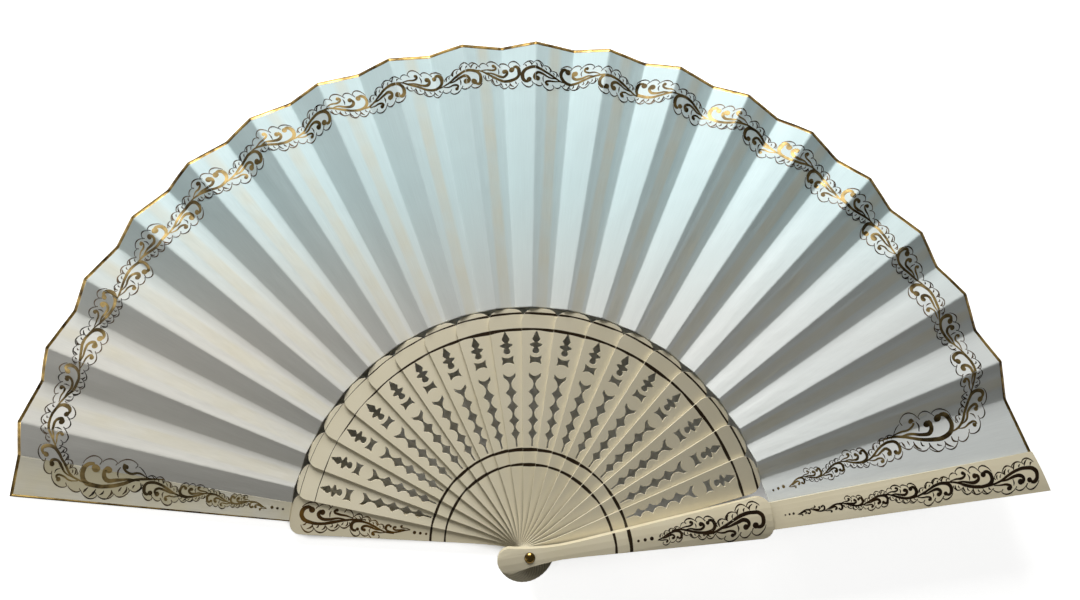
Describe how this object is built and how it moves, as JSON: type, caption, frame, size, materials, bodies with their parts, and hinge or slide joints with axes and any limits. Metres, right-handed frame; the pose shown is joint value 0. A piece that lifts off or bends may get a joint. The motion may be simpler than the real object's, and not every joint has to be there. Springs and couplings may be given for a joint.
{
  "type": "folding hand fan",
  "caption": "Open folding hand fan with pierced ivory plastic sticks, two guards, a brass rivet and a pleated satin leaf; the sticks turn on the rivet and the leaf folds shut.",
  "frame": {"origin": "on the rivet's axis, at the outer flat of the rivet's rear head, level with the rear guard's outer face", "axes": "+Z along the rivet towards the front guard, +Y up the middle of the open leaf, +X towards the front guard"},
  "size_m": [0.4327, 0.2279, 0.0295],
  "materials": {
    "ivory_plastic": "satin-gloss moulded ivory plastic",
    "satin": "pale satin cloth with gold ink",
    "brass": "polished brass"
  },
  "bodies": {
    "rear_rib": {"guard_rear": "ivory_plastic", "rivet": "brass", "leaf_panel_00": "satin", "leaf_fold_01": "satin"},
    "rib_01": {"stick_01": "ivory_plastic", "leaf_panel_01": "satin", "leaf_fold_02": "satin"},
    "rib_02": {"stick_02": "ivory_plastic", "leaf_panel_02": "satin", "leaf_fold_03": "satin"},
    "rib_03": {"stick_03": "ivory_plastic", "leaf_panel_03": "satin", "leaf_fold_04": "satin"},
    "rib_04": {"stick_04": "ivory_plastic", "leaf_panel_04": "satin", "leaf_fold_05": "satin"},
    "rib_05": {"stick_05": "ivory_plastic", "leaf_panel_05": "satin", "leaf_fold_06": "satin"},
    "rib_06": {"stick_06": "ivory_plastic", "leaf_panel_06": "satin", "leaf_fold_07": "satin"},
    "rib_07": {"stick_07": "ivory_plastic", "leaf_panel_07": "satin", "leaf_fold_08": "satin"},
    "rib_08": {"stick_08": "ivory_plastic", "leaf_panel_08": "satin", "leaf_fold_09": "satin"},
    "rib_09": {"stick_09": "ivory_plastic", "leaf_panel_09": "satin", "leaf_fold_10": "satin"},
    "rib_10": {"stick_10": "ivory_plastic", "leaf_panel_10": "satin", "leaf_fold_11": "satin"},
    "rib_11": {"stick_11": "ivory_plastic", "leaf_panel_11": "satin", "leaf_fold_12": "satin"},
    "rib_12": {"stick_12": "ivory_plastic", "leaf_panel_12": "satin", "leaf_fold_13": "satin"},
    "rib_13": {"stick_13": "ivory_plastic", "leaf_panel_13": "satin", "leaf_fold_14": "satin"},
    "rib_14": {"stick_14": "ivory_plastic", "leaf_panel_14": "satin", "leaf_fold_15": "satin"},
    "rib_15": {"stick_15": "ivory_plastic", "leaf_panel_15": "satin", "leaf_fold_16": "satin"},
    "rib_16": {"stick_16": "ivory_plastic", "leaf_panel_16": "satin", "leaf_fold_17": "satin"},
    "rib_17": {"stick_17": "ivory_plastic", "leaf_panel_17": "satin", "leaf_fold_18": "satin"},
    "rib_18": {"stick_18": "ivory_plastic", "leaf_panel_18": "satin", "leaf_fold_19": "satin"},
    "front_rib": {"guard_front": "ivory_plastic", "leaf_panel_19": "satin"}
  },
  "joints": [
    {"name": "rivet_turn_01", "type": "hinge", "parent": "rear_rib", "child": "rib_01", "pos_m": [0, 0, 0], "axis": [0, 0, 1], "range_deg": [0, 8.5], "deforming": ["leaf_fold_01"]},
    {"name": "rivet_turn_02", "type": "hinge", "parent": "rib_01", "child": "rib_02", "pos_m": [0, 0, 0], "axis": [0, 0, 1], "range_deg": [0, 8.5], "deforming": ["leaf_fold_02"]},
    {"name": "rivet_turn_03", "type": "hinge", "parent": "rib_02", "child": "rib_03", "pos_m": [0, 0, 0], "axis": [0, 0, 1], "range_deg": [0, 8.5], "deforming": ["leaf_fold_03"]},
    {"name": "rivet_turn_04", "type": "hinge", "parent": "rib_03", "child": "rib_04", "pos_m": [0, 0, 0], "axis": [0, 0, 1], "range_deg": [0, 8.5], "deforming": ["leaf_fold_04"]},
    {"name": "rivet_turn_05", "type": "hinge", "parent": "rib_04", "child": "rib_05", "pos_m": [0, 0, 0], "axis": [0, 0, 1], "range_deg": [0, 8.5], "deforming": ["leaf_fold_05"]},
    {"name": "rivet_turn_06", "type": "hinge", "parent": "rib_05", "child": "rib_06", "pos_m": [0, 0, 0], "axis": [0, 0, 1], "range_deg": [0, 8.5], "deforming": ["leaf_fold_06"]},
    {"name": "rivet_turn_07", "type": "hinge", "parent": "rib_06", "child": "rib_07", "pos_m": [0, 0, 0], "axis": [0, 0, 1], "range_deg": [0, 8.5], "deforming": ["leaf_fold_07"]},
    {"name": "rivet_turn_08", "type": "hinge", "parent": "rib_07", "child": "rib_08", "pos_m": [0, 0, 0], "axis": [0, 0, 1], "range_deg": [0, 8.5], "deforming": ["leaf_fold_08"]},
    {"name": "rivet_turn_09", "type": "hinge", "parent": "rib_08", "child": "rib_09", "pos_m": [0, 0, 0], "axis": [0, 0, 1], "range_deg": [0, 8.5], "deforming": ["leaf_fold_09"]},
    {"name": "rivet_turn_10", "type": "hinge", "parent": "rib_09", "child": "rib_10", "pos_m": [0, 0, 0], "axis": [0, 0, 1], "range_deg": [0, 8.5], "deforming": ["leaf_fold_10"]},
    {"name": "rivet_turn_11", "type": "hinge", "parent": "rib_10", "child": "rib_11", "pos_m": [0, 0, 0], "axis": [0, 0, 1], "range_deg": [0, 8.5], "deforming": ["leaf_fold_11"]},
    {"name": "rivet_turn_12", "type": "hinge", "parent": "rib_11", "child": "rib_12", "pos_m": [0, 0, 0], "axis": [0, 0, 1], "range_deg": [0, 8.5], "deforming": ["leaf_fold_12"]},
    {"name": "rivet_turn_13", "type": "hinge", "parent": "rib_12", "child": "rib_13", "pos_m": [0, 0, 0], "axis": [0, 0, 1], "range_deg": [0, 8.5], "deforming": ["leaf_fold_13"]},
    {"name": "rivet_turn_14", "type": "hinge", "parent": "rib_13", "child": "rib_14", "pos_m": [0, 0, 0], "axis": [0, 0, 1], "range_deg": [0, 8.5], "deforming": ["leaf_fold_14"]},
    {"name": "rivet_turn_15", "type": "hinge", "parent": "rib_14", "child": "rib_15", "pos_m": [0, 0, 0], "axis": [0, 0, 1], "range_deg": [0, 8.5], "deforming": ["leaf_fold_15"]},
    {"name": "rivet_turn_16", "type": "hinge", "parent": "rib_15", "child": "rib_16", "pos_m": [0, 0, 0], "axis": [0, 0, 1], "range_deg": [0, 8.5], "deforming": ["leaf_fold_16"]},
    {"name": "rivet_turn_17", "type": "hinge", "parent": "rib_16", "child": "rib_17", "pos_m": [0, 0, 0], "axis": [0, 0, 1], "range_deg": [0, 8.5], "deforming": ["leaf_fold_17"]},
    {"name": "rivet_turn_18", "type": "hinge", "parent": "rib_17", "child": "rib_18", "pos_m": [0, 0, 0], "axis": [0, 0, 1], "range_deg": [0, 8.5], "deforming": ["leaf_fold_18"]},
    {"name": "rivet_turn_19", "type": "hinge", "parent": "rib_18", "child": "front_rib", "pos_m": [0, 0, 0], "axis": [0, 0, 1], "range_deg": [0, 10.5], "deforming": ["leaf_fold_19"]}
  ],
  "couplings": [
    {"joint": "rivet_turn_02", "follows": "rivet_turn_01", "ratio": 1},
    {"joint": "rivet_turn_03", "follows": "rivet_turn_01", "ratio": 1},
    {"joint": "rivet_turn_04", "follows": "rivet_turn_01", "ratio": 1},
    {"joint": "rivet_turn_05", "follows": "rivet_turn_01", "ratio": 1},
    {"joint": "rivet_turn_06", "follows": "rivet_turn_01", "ratio": 1},
    {"joint": "rivet_turn_07", "follows": "rivet_turn_01", "ratio": 1},
    {"joint": "rivet_turn_08", "follows": "rivet_turn_01", "ratio": 1},
    {"joint": "rivet_turn_09", "follows": "rivet_turn_01", "ratio": 1},
    {"joint": "rivet_turn_10", "follows": "rivet_turn_01", "ratio": 1},
    {"joint": "rivet_turn_11", "follows": "rivet_turn_01", "ratio": 1},
    {"joint": "rivet_turn_12", "follows": "rivet_turn_01", "ratio": 1},
    {"joint": "rivet_turn_13", "follows": "rivet_turn_01", "ratio": 1},
    {"joint": "rivet_turn_14", "follows": "rivet_turn_01", "ratio": 1},
    {"joint": "rivet_turn_15", "follows": "rivet_turn_01", "ratio": 1},
    {"joint": "rivet_turn_16", "follows": "rivet_turn_01", "ratio": 1},
    {"joint": "rivet_turn_17", "follows": "rivet_turn_01", "ratio": 1},
    {"joint": "rivet_turn_18", "follows": "rivet_turn_01", "ratio": 1},
    {"joint": "rivet_turn_19", "follows": "rivet_turn_01", "ratio": 1.2353}
  ]
}
